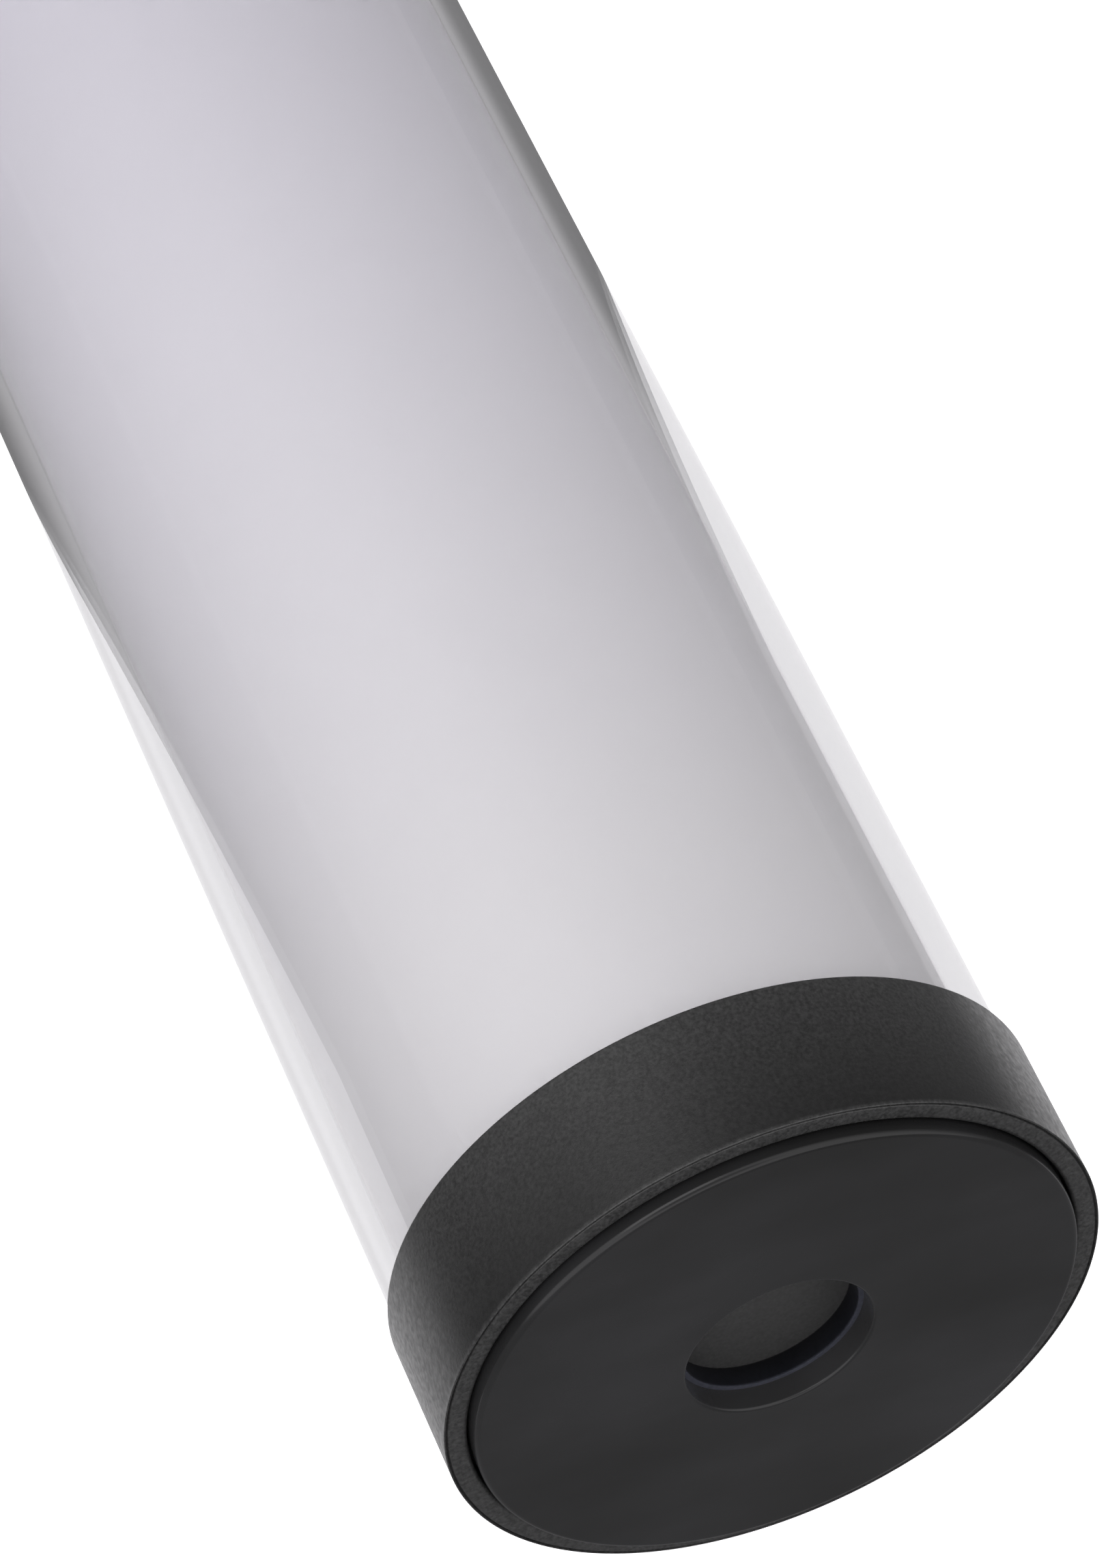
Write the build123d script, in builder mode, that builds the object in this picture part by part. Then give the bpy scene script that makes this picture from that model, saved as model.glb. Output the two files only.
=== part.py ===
from build123d import *
import os
from math import cos, radians, sin

# LED light tube, lying on its two round ends.
# +X runs along the tube from the control handle to the plain end, +Z is up and
# is the side that the LEDs face. The origin is the middle of the underside.
# Every length is in millimetres. Radii are measured from the tube's axis.

# ---------------------------------------------------------------- driving sizes
LENGTH = 600.0            # over both end plates
COLLAR_R = 25.8           # collar and handle, the largest radius
TUBE_R = 25.0             # clear tube, a stock 50 mm pipe
TUBE_WALL = 2.0
COLLAR_LENGTH = 12.1      # visible height of the end collar
HANDLE_LENGTH = 168.9     # from the rear lip to the handle's tube side
PLATE_R = 23.75           # glossy end disc
PLATE_PROUD = 1.1         # how far a disc stands out of its lip
PLATE_T = 1.95
PLATE_ROUND = 0.45        # rounded rim of each end disc
LIP_R = 23.95             # inside of the flat lip
RECESS_R = 7.4            # hole in the front disc
POCKET_R = 7.0            # pocket in the plug behind it
POCKET_DEPTH = 1.8
EDGE_R = 0.2              # softened outer corners
GLUE_GAP = 0.05           # bond line round the tube
FIT = 0.1                 # clearance of a part seated in another
CLEARANCE = 0.2           # loose clearance, on the radius
BIG = 80.0                # wider than any section, for cutting halves away

# ---------------------------------------------------------------- stations along X
AXIS_Z = COLLAR_R
FRONT = LENGTH / 2
REAR = -LENGTH / 2
FRONT_LIP = FRONT - PLATE_PROUD
REAR_LIP = REAR + PLATE_PROUD
COLLAR_BACK = FRONT_LIP - COLLAR_LENGTH
PLUG_FACE = FRONT - PLATE_T
REAR_PLUG_FACE = REAR + PLATE_T
LIP_T = 2.2
FLANGE_T = 1.5
TUBE_FRONT = FRONT_LIP - LIP_T - FLANGE_T
HANDLE_FRONT = REAR_LIP + HANDLE_LENGTH
SOCKET_DEPTH = 18.0       # how far the tube goes into the handle
SOCKET_FLOOR = HANDLE_FRONT - SOCKET_DEPTH
GASKET_T = 0.8
TUBE_REAR = SOCKET_FLOOR + GASKET_T
LIGHT_FRONT = COLLAR_BACK + 1.2       # diffuser and spine end just under the collar
BULKHEAD_REAR = TUBE_REAR + 0.4
BULKHEAD_T = 3.0
LIGHT_REAR = BULKHEAD_REAR + BULKHEAD_T

# ---------------------------------------------------------------- inside the tube
TUBE_BORE = TUBE_R - TUBE_WALL
SLEEVE_R = TUBE_BORE - FIT   # outside of the opal diffuser
SLEEVE_T = 0.9
FOOT_R = SLEEVE_R         # spine below the diffuser's edges
BODY_R = SLEEVE_R - SLEEVE_T - CLEARANCE
SHOULDER_Z = -12.2        # ledge that the diffuser's edges stand on
DECK_Z = -4.0             # flat top of the spine
DECK_T = 2.2
SPINE_CORE_R = 19.2
PORTS = [(-13.0, -8.6), (13.0, -8.6), (0.0, -16.8)]   # screw ports, (y, z from axis)
PORT_R = 3.0
PORT_HOLE_R = 1.5
M3_SHANK_R = 1.45
M3_HEAD_R = 2.75
M3_HEAD_T = 2.0
M3_SOCKET_R = 1.15        # corners of the hexagon socket
M3_SOCKET_DEPTH = 1.2
M3_BITE = 8.0             # thread held by the far part
HEAD_GAP = 0.15           # round a screw head in its counterbore
SEAL_R = 0.66             # section of both sealing rings
GROOVE_W = 2.0
GROOVE_DEPTH = 1.45
BOARD_W = 22.0
BOARD_T = 1.6
BOARD_GAP = 1.0
LED_SIZE = 5.0
LED_T = 1.6
LED_WINDOW_R = 1.9
LED_DISH = 0.4            # depth of the window
LED_ROW_Y = 5.5
LED_COLUMNS = 12

# ---------------------------------------------------------------- inside the handle
REAR_BORE = 24.0          # seat of the rear plug's flange
CELL_BORE = 23.2          # battery space
BOARD_BORE = 20.6         # electronics space
FLANGE_FRONT = REAR_LIP + 5.0
CELL_SPACE_FRONT = -208.0
CELL_R = 9.2
CELL_LENGTH = 65.0
CELL_RING = 10.75         # the three cells' centres
CELL_ANGLES = [90, 210, 330]
STRUT_RING = 19.0         # struts stand in the gaps between the cells
STRUT_ANGLES = [30, 150, 270]
STRUT_R = 2.8
CARRIER_REAR = -284.0
CARRIER_T = 4.0
LINK_T = 0.3
LINK_W = 7.0
CAP_R = 3.2               # raised contact of a cell
CAP_T = 1.2
VENT_R = 4.0              # middle hole of the carrier's bulkheads
CELLS_REAR = CARRIER_REAR + CARRIER_T + LINK_T
CELLS_FRONT = CELLS_REAR + CELL_LENGTH
CARRIER_FRONT = CELLS_FRONT + LINK_T + CARRIER_T
CARRIER_R = 22.9

# ---------------------------------------------------------------- control side, -Y
PANEL_FLAT = 23.2         # flat cut into the handle, measured from the axis
PANEL_X = -178.0
PANEL_L = 52.0
PANEL_H = 20.0
PANEL_T = 1.6
PANEL_CORNER = 2.5
FLAT_L = 56.0
LEDGE = 2.0
PANEL_BACK = PANEL_FLAT - PANEL_T
CONTROL_BOARD_FACE = 17.6
DISPLAY_X = -187.5
BUTTON_X = -172.0
BUTTON_Z = 4.0
BUTTON_R = 2.85
BUTTON_HOLE_R = 3.1
BUTTON_TRAVEL = 0.5
DIAL_X = -161.0
DIAL_R = 6.2
DIAL_H = 2.0
SHAFT_R = 1.5
BUSH_R = 3.2
POST_X = 22.2             # panel posts, from the panel's middle
POST_Z = 6.3
POST_R = 1.5

# ---------------------------------------------------------------- charging port, +Y
PORT_FLAT = 22.8
PORT_X = -178.0
PORT_FLAT_L = 24.0
HINGE_Y = 23.95
HINGE_Z = 6.2             # above the axis
HINGE_R = 0.9
COVER_W = 14.6
COVER_DROP = 12.0
LUG_W = 2.0
LUG_GAP = 0.3
PIN_R = 0.5
PIN_GAP = 0.08

TUBE_AXIS = Axis((0, 0, AXIS_Z), (1, 0, 0))
# Local x is the station along the tube and local y the radius.
LATHE = Plane(origin=(0, 0, AXIS_Z), x_dir=(1, 0, 0), z_dir=(0, -1, 0))


def across(x):
    """Cross-section plane at a station: local x is +Y, local y is up, normal +X."""
    return Plane(origin=(x, 0, AXIS_Z), x_dir=(0, 1, 0), z_dir=(1, 0, 0))


def front_view(depth):
    """Plane of the control side, seen from -Y: local x is +X, local y up, normal -Y."""
    return Plane(origin=(0, -depth, AXIS_Z), x_dir=(1, 0, 0), z_dir=(0, -1, 0))


def back_view(depth):
    """Plane of the port side: local x is -X, local y up, normal +Y."""
    return Plane(origin=(0, depth, AXIS_Z), x_dir=(-1, 0, 0), z_dir=(0, 1, 0))


def level(z):
    """Horizontal plane at a height above the tube's axis."""
    return Plane.XY.offset(AXIS_Z + z)


def ring_edges(builder, x, r):
    """Circular edges of a turned part at one station and radius."""
    circles = builder.edges().filter_by(GeomType.CIRCLE)
    return circles.filter_by(lambda e: abs(e.radius - r) < 0.01 and abs(e.arc_center.X - x) < 0.01)


def polar(radius, angles):
    """Points on a circle about the axis, as (y, z from axis)."""
    return [(radius * cos(radians(a)), radius * sin(radians(a))) for a in angles]


def save(builder, name):
    """Label a finished piece and write it."""
    builder.part.label = name
    export_step(builder.part, f"parts/{name}.step")


# ================================================================ plain end
# End collar: slides over the tube and traps the plug's flange behind its lip.
with BuildPart() as end_ring:
    with BuildSketch(LATHE):
        with BuildLine():
            Polyline(
                (COLLAR_BACK, TUBE_R + GLUE_GAP),
                (COLLAR_BACK, COLLAR_R),
                (FRONT_LIP, COLLAR_R),
                (FRONT_LIP, LIP_R),
                (FRONT_LIP - LIP_T, LIP_R),
                (FRONT_LIP - LIP_T, TUBE_R + GLUE_GAP),
                close=True,
            )
        make_face()
    revolve(axis=TUBE_AXIS)
    fillet(ring_edges(end_ring, FRONT_LIP, COLLAR_R), EDGE_R)
    fillet(ring_edges(end_ring, COLLAR_BACK, COLLAR_R), EDGE_R / 2)
save(end_ring, "end_ring")

# Glossy end disc, stuck on the plug, with a rounded rim and an open centre.
HOLE_ROUND = 0.3
with BuildPart() as end_plate:
    with BuildSketch(across(PLUG_FACE)):
        Circle(PLATE_R)
        Circle(RECESS_R, mode=Mode.SUBTRACT)
    extrude(amount=PLATE_T)
    fillet(ring_edges(end_plate, FRONT, PLATE_R), PLATE_ROUND)
    fillet(ring_edges(end_plate, FRONT, RECESS_R), HOLE_ROUND)
save(end_plate, "end_plate")

# Moulded plug: flange, boss behind the disc, sealed spigot and the recess's pocket.
SPIGOT_R = TUBE_BORE - FIT
BOSS_R = LIP_R - 0.25
SPIGOT_BACK = LIGHT_FRONT + CLEARANCE
SPIGOT_CORE_R = 19.4
WEB_T = 2.0
WEB_BACK = TUBE_FRONT - WEB_T
PORT_WALL = 0.8           # plastic round each screw port
FRONT_GROOVE_X = (SPIGOT_BACK + TUBE_FRONT) / 2
with BuildPart() as end_plug:
    with BuildSketch(across(SPIGOT_BACK)):
        Circle(SPIGOT_R)
    extrude(amount=TUBE_FRONT - SPIGOT_BACK)
    with BuildSketch(across(TUBE_FRONT)):
        Circle(TUBE_R - FIT)
    extrude(amount=FLANGE_T)
    with BuildSketch(across(TUBE_FRONT + FLANGE_T)):
        Circle(BOSS_R)
    extrude(amount=PLUG_FACE - TUBE_FRONT - FLANGE_T)
    with BuildSketch(across(SPIGOT_BACK)):
        Circle(SPIGOT_CORE_R)
    extrude(amount=WEB_BACK - SPIGOT_BACK, mode=Mode.SUBTRACT)
    with BuildSketch(across(SPIGOT_BACK)):
        with Locations(*PORTS):
            Circle(PORT_R + PORT_WALL)
    extrude(amount=WEB_BACK - SPIGOT_BACK)
    with BuildSketch(across(PLUG_FACE)):
        Circle(POCKET_R)
    extrude(amount=-POCKET_DEPTH, mode=Mode.SUBTRACT)
    with BuildSketch(across(FRONT_GROOVE_X - GROOVE_W / 2)):
        Circle(SPIGOT_R)
        Circle(SPIGOT_R - GROOVE_DEPTH, mode=Mode.SUBTRACT)
    extrude(amount=GROOVE_W, mode=Mode.SUBTRACT)
    with Locations(across(PLUG_FACE)):
        with Locations(*PORTS):
            CounterBoreHole(PORT_HOLE_R + FIT, M3_HEAD_R + HEAD_GAP, M3_HEAD_T + CLEARANCE)
save(end_plug, "end_plug")


def sealing_ring(x, bore):
    """Round-section sealing ring seated against a bore."""
    with BuildPart() as ring:
        with BuildSketch(LATHE):
            with Locations((x, bore - SEAL_R - 0.05)):
                Circle(SEAL_R)
        revolve(axis=TUBE_AXIS)
    return ring


save(sealing_ring(FRONT_GROOVE_X, TUBE_BORE), "end_plug_seal")


def cap_screws(head_x, shank_length, points, direction):
    """Pan-head M3 screws with hexagon sockets, one solid each, heads facing `direction`."""
    with BuildPart() as screws:
        with BuildSketch(across(head_x)):
            with Locations(*points):
                Circle(M3_HEAD_R)
        extrude(amount=direction * M3_HEAD_T)
        head_tops = screws.faces().group_by(Axis.X)[-1 if direction > 0 else 0]
        fillet(head_tops.edges(), 0.4)
        with BuildSketch(across(head_x + direction * M3_HEAD_T)):
            with Locations(*points):
                RegularPolygon(M3_SOCKET_R, 6)
        extrude(amount=-direction * M3_SOCKET_DEPTH, mode=Mode.SUBTRACT)
        with BuildSketch(across(head_x)):
            with Locations(*points):
                Circle(M3_SHANK_R)
        extrude(amount=-direction * shank_length)
    return screws


FRONT_SEAT = PLUG_FACE - M3_HEAD_T - CLEARANCE
save(cap_screws(FRONT_SEAT, FRONT_SEAT - LIGHT_FRONT + M3_BITE, PORTS, 1), "end_plug_screws")

# ================================================================ tube and light
with BuildPart() as outer_tube:
    with BuildSketch(across(TUBE_REAR)):
        Circle(TUBE_R)
        Circle(TUBE_BORE, mode=Mode.SUBTRACT)
    extrude(amount=TUBE_FRONT - TUBE_REAR)
save(outer_tube, "outer_tube")

# Opal sheet bent over the LEDs, its two long edges standing on the spine's ledges.
with BuildPart() as diffuser_sleeve:
    with BuildSketch(across(LIGHT_REAR)):
        Circle(SLEEVE_R)
        Circle(SLEEVE_R - SLEEVE_T, mode=Mode.SUBTRACT)
        with Locations((0, SHOULDER_Z + FIT - BIG / 2)):
            Rectangle(BIG, BIG, mode=Mode.SUBTRACT)
    extrude(amount=LIGHT_FRONT - LIGHT_REAR)
save(diffuser_sleeve, "diffuser_sleeve")

# Aluminium spine: wide foot, narrower body inside the diffuser, flat deck, three screw ports.
spine_cavity = Circle(SPINE_CORE_R) & Pos(0, DECK_Z - DECK_T - BIG / 2) * Rectangle(BIG, BIG)
DECK_SCREW_X = [LIGHT_REAR + 12, -8.0, 62.0, 84.0, 154.0, LIGHT_FRONT - 12]
DECK_SCREW_R = 1.05
DECK_HEAD_R = 2.2
DECK_HEAD_T = 1.4
with BuildPart() as led_spine:
    with BuildSketch(across(LIGHT_REAR)):
        Circle(FOOT_R)
        with Locations((0, SHOULDER_Z + BIG / 2)):
            Rectangle(BIG, BIG, mode=Mode.SUBTRACT)
        Circle(BODY_R)
        with Locations((0, DECK_Z + BIG / 2)):
            Rectangle(BIG, BIG, mode=Mode.SUBTRACT)
        add(spine_cavity, mode=Mode.SUBTRACT)
        with Locations(*PORTS):
            Circle(PORT_R)
        with Locations(*PORTS):
            Circle(PORT_HOLE_R, mode=Mode.SUBTRACT)
    extrude(amount=LIGHT_FRONT - LIGHT_REAR)
    with BuildSketch(level(DECK_Z)):
        with Locations(*[(x, 0) for x in DECK_SCREW_X]):
            Circle(DECK_SCREW_R + CLEARANCE / 4)
    extrude(amount=-DECK_T, mode=Mode.SUBTRACT)
save(led_spine, "led_spine")

# Two LED boards end to end on the deck, each with two rows of packages.
BOARD_L = (LIGHT_FRONT - LIGHT_REAR - 3 * BOARD_GAP) / 2
LED_PITCH = BOARD_L / LED_COLUMNS


def led_board(x_start, screw_x):
    """One aluminium-backed board with clearance holes for its screws."""
    with BuildPart() as board:
        with BuildSketch(level(DECK_Z)):
            with Locations((x_start + BOARD_L / 2, 0)):
                RectangleRounded(BOARD_L, BOARD_W, 1.0)
            with Locations(*[(x, 0) for x in screw_x]):
                Circle(DECK_SCREW_R + 1.5 * CLEARANCE, mode=Mode.SUBTRACT)
        extrude(amount=BOARD_T)
    return board


def led_packages(x_start):
    """LED packages of one board: square bodies with a round dished window."""
    with BuildPart() as packages:
        places = [
            (x_start + (column + 0.5) * LED_PITCH, side * LED_ROW_Y)
            for column in range(LED_COLUMNS)
            for side in (-1, 1)
        ]
        with BuildSketch(level(DECK_Z + BOARD_T)):
            with Locations(*places):
                Rectangle(LED_SIZE, LED_SIZE)
        extrude(amount=LED_T)
        with BuildSketch(level(DECK_Z + BOARD_T + LED_T)):
            with Locations(*places):
                Circle(LED_WINDOW_R)
        extrude(amount=-LED_DISH, mode=Mode.SUBTRACT)
    return packages


for number in (1, 2):
    board_start = LIGHT_REAR + BOARD_GAP + (number - 1) * (BOARD_L + BOARD_GAP)
    board_screws = [x for x in DECK_SCREW_X if board_start < x < board_start + BOARD_L]
    save(led_board(board_start, board_screws), f"led_board_{number}")
    save(led_packages(board_start), f"led_packages_{number}")

with BuildPart() as led_board_screws:
    with BuildSketch(level(DECK_Z + BOARD_T)):
        with Locations(*[(x, 0) for x in DECK_SCREW_X]):
            Circle(DECK_HEAD_R)
    extrude(amount=DECK_HEAD_T)
    with BuildSketch(level(DECK_Z + BOARD_T)):
        with Locations(*[(x, 0) for x in DECK_SCREW_X]):
            Circle(DECK_SCREW_R)
    extrude(amount=-BOARD_T - DECK_T)
save(led_board_screws, "led_board_screws")

# Bulkhead in the tube's rear mouth; its rim locates in the handle's bore.
LEAD_Y = 4.0              # hole for the wires to the LED boards
LEAD_Z = 9.0
LEAD_HOLE_R = 4.0
RIM_R = BOARD_BORE - CLEARANCE
RIM_T = 1.6
RIM_REAR = SOCKET_FLOOR - 4.0
with BuildPart() as spine_bulkhead:
    with BuildSketch(across(BULKHEAD_REAR)):
        Circle(TUBE_BORE - CLEARANCE)
    extrude(amount=BULKHEAD_T)
    with BuildSketch(across(RIM_REAR)):
        Circle(RIM_R)
        Circle(RIM_R - RIM_T, mode=Mode.SUBTRACT)
    extrude(amount=BULKHEAD_REAR - RIM_REAR)
    with BuildSketch(across(BULKHEAD_REAR)):
        with Locations(*PORTS):
            Circle(PORT_HOLE_R + FIT)
        with Locations((LEAD_Y, LEAD_Z)):
            Circle(LEAD_HOLE_R)
    extrude(amount=BULKHEAD_T, mode=Mode.SUBTRACT)
    with BuildSketch(across(BULKHEAD_REAR)):
        with Locations(*PORTS):
            Circle(M3_HEAD_R + HEAD_GAP)
    extrude(amount=RIM_REAR - BULKHEAD_REAR, mode=Mode.SUBTRACT)
save(spine_bulkhead, "spine_bulkhead")
save(cap_screws(BULKHEAD_REAR, BULKHEAD_T + M3_BITE, PORTS, -1), "spine_screws")

with BuildPart() as tube_gasket:
    with BuildSketch(across(SOCKET_FLOOR)):
        Circle(TUBE_R - FIT)
        Circle(TUBE_BORE + CLEARANCE, mode=Mode.SUBTRACT)
    extrude(amount=GASKET_T)
save(tube_gasket, "tube_gasket")

# ================================================================ handle
# One shell: tube socket in front, electronics bore, battery bore, plug seat behind.
# A flat on the -Y side takes the control panel, one on the +Y side the charging port.
USB_W = 9.0
USB_H = 3.2
WINDOW_DEPTH = 6.0        # control panel's window, through the wall
LUG_R = HINGE_R + FIT
lug_x = [PORT_X + side * (COVER_W / 2 + LUG_GAP + LUG_W / 2) for side in (-1, 1)]
hinge_plane = Plane(origin=(PORT_X, HINGE_Y, AXIS_Z + HINGE_Z), x_dir=(0, 1, 0), z_dir=(1, 0, 0))
with BuildPart() as handle_shell:
    with BuildSketch(LATHE):
        with BuildLine():
            Polyline(
                (REAR_LIP, REAR_BORE),
                (REAR_LIP, COLLAR_R),
                (HANDLE_FRONT, COLLAR_R),
                (HANDLE_FRONT, TUBE_R + GLUE_GAP),
                (SOCKET_FLOOR, TUBE_R + GLUE_GAP),
                (SOCKET_FLOOR, BOARD_BORE),
                (CELL_SPACE_FRONT, BOARD_BORE),
                (CELL_SPACE_FRONT, CELL_BORE),
                (FLANGE_FRONT, CELL_BORE),
                (FLANGE_FRONT, REAR_BORE),
                close=True,
            )
        make_face()
    revolve(axis=TUBE_AXIS)
    fillet(ring_edges(handle_shell, REAR_LIP, COLLAR_R), EDGE_R)
    fillet(ring_edges(handle_shell, HANDLE_FRONT, COLLAR_R), EDGE_R / 2)
    # flat, seat and window of the control panel
    with BuildSketch(front_view(PANEL_FLAT)):
        with Locations((PANEL_X, 0)):
            Rectangle(FLAT_L, 2 * COLLAR_R)
    extrude(amount=COLLAR_R, mode=Mode.SUBTRACT)
    with BuildSketch(front_view(PANEL_BACK)):
        with Locations((PANEL_X, 0)):
            RectangleRounded(PANEL_L, PANEL_H, PANEL_CORNER)
    extrude(amount=PANEL_T, mode=Mode.SUBTRACT)
    with BuildSketch(front_view(PANEL_BACK)):
        with Locations((PANEL_X, 0)):
            RectangleRounded(PANEL_L - 2 * LEDGE, PANEL_H - 2 * LEDGE, 1.5)
    extrude(amount=-WINDOW_DEPTH, mode=Mode.SUBTRACT)
    # flat, socket hole and hinge lugs of the charging port
    with BuildSketch(back_view(PORT_FLAT)):
        with Locations((-PORT_X, 0)):
            Rectangle(PORT_FLAT_L, 2 * COLLAR_R)
    extrude(amount=COLLAR_R, mode=Mode.SUBTRACT)
    with BuildSketch(back_view(PORT_FLAT)):
        with Locations((-PORT_X, 0)):
            SlotOverall(USB_W + 2 * CLEARANCE, USB_H + 2 * CLEARANCE)
    extrude(amount=PORT_FLAT - COLLAR_R - 1.0, mode=Mode.SUBTRACT)
    for x in lug_x:
        with BuildSketch(hinge_plane.offset(x - PORT_X - LUG_W / 2)):
            Circle(LUG_R)
            with Locations(((PORT_FLAT - HINGE_Y) / 2 - FIT, 0)):
                Rectangle(HINGE_Y - PORT_FLAT + CLEARANCE, 2 * LUG_R)
        extrude(amount=LUG_W)
    with BuildSketch(hinge_plane):
        Circle(PIN_R)
    extrude(amount=COVER_W, both=True, mode=Mode.SUBTRACT)
save(handle_shell, "handle_shell")

# ---------------------------------------------------------------- control panel
POSTS = [(PANEL_X + i * POST_X, j * POST_Z) for i in (-1, 1) for j in (-1, 1)]
BUTTONS = {"power": (BUTTON_X, BUTTON_Z), "mode": (BUTTON_X, -BUTTON_Z)}
GLASS_L = 20.0
GLASS_H = 13.0
GLASS_CORNER = 1.0
GLASS_T = 1.0
GLASS_LAP = 2.0           # how much narrower the window under the glass is
PILOT_R = 0.8             # pilot holes of the small board screws
with BuildPart() as control_panel:
    with BuildSketch(front_view(PANEL_BACK)):
        with Locations((PANEL_X, 0)):
            RectangleRounded(PANEL_L - 2 * FIT, PANEL_H - 2 * FIT, PANEL_CORNER - FIT)
        with Locations((DISPLAY_X, 0)):
            RectangleRounded(GLASS_L - GLASS_LAP, GLASS_H - GLASS_LAP, 0.6, mode=Mode.SUBTRACT)
        with Locations(*BUTTONS.values()):
            Circle(BUTTON_HOLE_R, mode=Mode.SUBTRACT)
        with Locations((DIAL_X, 0)):
            Circle(BUSH_R + CLEARANCE, mode=Mode.SUBTRACT)
    extrude(amount=PANEL_T)
    with BuildSketch(front_view(PANEL_FLAT)):
        with Locations((DISPLAY_X, 0)):
            RectangleRounded(GLASS_L + 2 * FIT, GLASS_H + 2 * FIT, GLASS_CORNER + FIT)
    extrude(amount=-GLASS_T, mode=Mode.SUBTRACT)
    with BuildSketch(front_view(CONTROL_BOARD_FACE)):
        with Locations(*POSTS):
            Circle(POST_R)
        with Locations(*POSTS):
            Circle(PILOT_R, mode=Mode.SUBTRACT)
    extrude(amount=PANEL_BACK - CONTROL_BOARD_FACE)
save(control_panel, "control_panel")

with BuildPart() as display_glass:
    with BuildSketch(front_view(PANEL_FLAT - GLASS_T)):
        with Locations((DISPLAY_X, 0)):
            RectangleRounded(GLASS_L, GLASS_H, GLASS_CORNER)
    extrude(amount=GLASS_T)
save(display_glass, "display_glass")

with BuildPart() as display_module:
    with BuildSketch(front_view(CONTROL_BOARD_FACE)):
        with Locations((DISPLAY_X, 0)):
            Rectangle(GLASS_L - 0.5, GLASS_H - 0.5)
    extrude(amount=PANEL_BACK - CONTROL_BOARD_FACE - FIT)
save(display_module, "display_module")

CONTROL_BOARD_T = 1.6
CONTROL_BOARD_L = 47.6
CONTROL_BOARD_H = 17.6
SMALL_SHANK_R = 0.75      # self-tapping screws of both circuit boards
SMALL_HEAD_R = 1.5
SMALL_HEAD_T = 1.0
SMALL_BITE = 2.5
with BuildPart() as control_board:
    with BuildSketch(front_view(CONTROL_BOARD_FACE)):
        with Locations((PANEL_X, 0)):
            RectangleRounded(CONTROL_BOARD_L, CONTROL_BOARD_H, 1.0)
        with Locations(*POSTS):
            Circle(PILOT_R + FIT, mode=Mode.SUBTRACT)
    extrude(amount=-CONTROL_BOARD_T)
save(control_board, "control_board")

with BuildPart() as control_board_screws:
    with BuildSketch(front_view(CONTROL_BOARD_FACE - CONTROL_BOARD_T)):
        with Locations(*POSTS):
            Circle(SMALL_HEAD_R)
    extrude(amount=-SMALL_HEAD_T)
    with BuildSketch(front_view(CONTROL_BOARD_FACE - CONTROL_BOARD_T)):
        with Locations(*POSTS):
            Circle(SMALL_SHANK_R)
    extrude(amount=CONTROL_BOARD_T + SMALL_BITE)
save(control_board_screws, "control_board_screws")

# Round push buttons: cap through the panel, flange behind it, stem towards the switch.
BUTTON_PROUD = 1.0
BUTTON_REAR = PANEL_BACK - FIT
BUTTON_FLANGE = 0.8       # width and thickness of the flange
STEM_R = 1.2
STEM_END = PANEL_BACK - 1.7
SWITCH_W = 4.5
SWITCH_T = 1.3
PLUNGER_R = 0.9
for use, place in BUTTONS.items():
    with BuildPart() as button:
        with BuildSketch(front_view(BUTTON_REAR)):
            with Locations(place):
                Circle(BUTTON_R)
        extrude(amount=PANEL_T + BUTTON_PROUD + FIT)
        fillet(button.faces().sort_by(Axis.Y)[0].edges(), 0.4)
        with BuildSketch(front_view(BUTTON_REAR)):
            with Locations(place):
                Circle(BUTTON_R + BUTTON_FLANGE)
        extrude(amount=-BUTTON_FLANGE)
        with BuildSketch(front_view(STEM_END)):
            with Locations(place):
                Circle(STEM_R)
        extrude(amount=BUTTON_REAR - STEM_END)
    save(button, f"{use}_button")
    with BuildPart() as switch:
        with BuildSketch(front_view(CONTROL_BOARD_FACE)):
            with Locations(place):
                Rectangle(SWITCH_W, SWITCH_W)
        extrude(amount=SWITCH_T)
        with BuildSketch(front_view(CONTROL_BOARD_FACE + SWITCH_T)):
            with Locations(place):
                Circle(PLUNGER_R)
        extrude(amount=STEM_END - BUTTON_TRAVEL - FIT - CONTROL_BOARD_FACE - SWITCH_T)
    save(switch, f"{use}_switch")

# Rotary dial on its shaft, turning in the encoder's bush.
DIAL_BACK = PANEL_FLAT + 0.25
SHAFT_TIP = DIAL_BACK + DIAL_H - 0.9
FLUTES = 30
FLUTE_R = 0.35
DISH_R = DIAL_R - 1.2
DISH_DEPTH = 0.3
with BuildPart() as dial:
    with BuildSketch(front_view(DIAL_BACK)):
        with Locations((DIAL_X, 0)):
            Circle(DIAL_R)
            with PolarLocations(DIAL_R + FLUTE_R / 2, FLUTES):
                Circle(FLUTE_R, mode=Mode.SUBTRACT)
    extrude(amount=DIAL_H)
    with BuildSketch(front_view(DIAL_BACK + DIAL_H)):
        with Locations((DIAL_X, 0)):
            Circle(DISH_R)
    extrude(amount=-DISH_DEPTH, mode=Mode.SUBTRACT)
    with BuildSketch(front_view(DIAL_BACK)):
        with Locations((DIAL_X, 0)):
            Circle(SHAFT_R)
    extrude(amount=SHAFT_TIP - DIAL_BACK, mode=Mode.SUBTRACT)
save(dial, "dial")

SHAFT_END = CONTROL_BOARD_FACE + 0.6
with BuildPart() as dial_shaft:
    with BuildSketch(front_view(SHAFT_END)):
        with Locations((DIAL_X, 0)):
            Circle(SHAFT_R)
    extrude(amount=SHAFT_TIP - SHAFT_END)
save(dial_shaft, "dial_shaft")

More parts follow.
